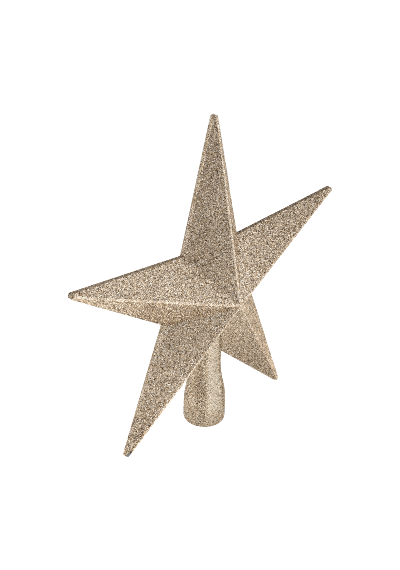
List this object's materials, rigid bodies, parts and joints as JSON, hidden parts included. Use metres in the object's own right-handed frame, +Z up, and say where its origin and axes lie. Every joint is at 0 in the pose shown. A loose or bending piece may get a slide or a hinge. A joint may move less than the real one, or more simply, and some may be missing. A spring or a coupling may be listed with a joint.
{
  "type": "christmas tree topper star",
  "caption": "Faceted star tree topper: glitter-coated half shells bonded at the rim, with a barrel-shaped socket below that slips over the tree's top shoot.",
  "frame": {"origin": "centre of the socket's mouth, on the axis that the tree's top shoot enters along", "axes": "+Z up through the socket to the star's top point, the star's front faces -Y, and the star's plane is XZ"},
  "size_m": [0.1904, 0.049, 0.1821],
  "materials": {
    "star_glitter": "moulded plastic under fine champagne-gold glitter",
    "socket_glitter": "moulded plastic, champagne-gold glitter outside, bare satin plastic in the bore"
  },
  "bodies": {
    "root": {"front_star_shell": "star_glitter", "rear_star_shell": "star_glitter", "trunk_socket": "socket_glitter"}
  },
  "joints": []
}
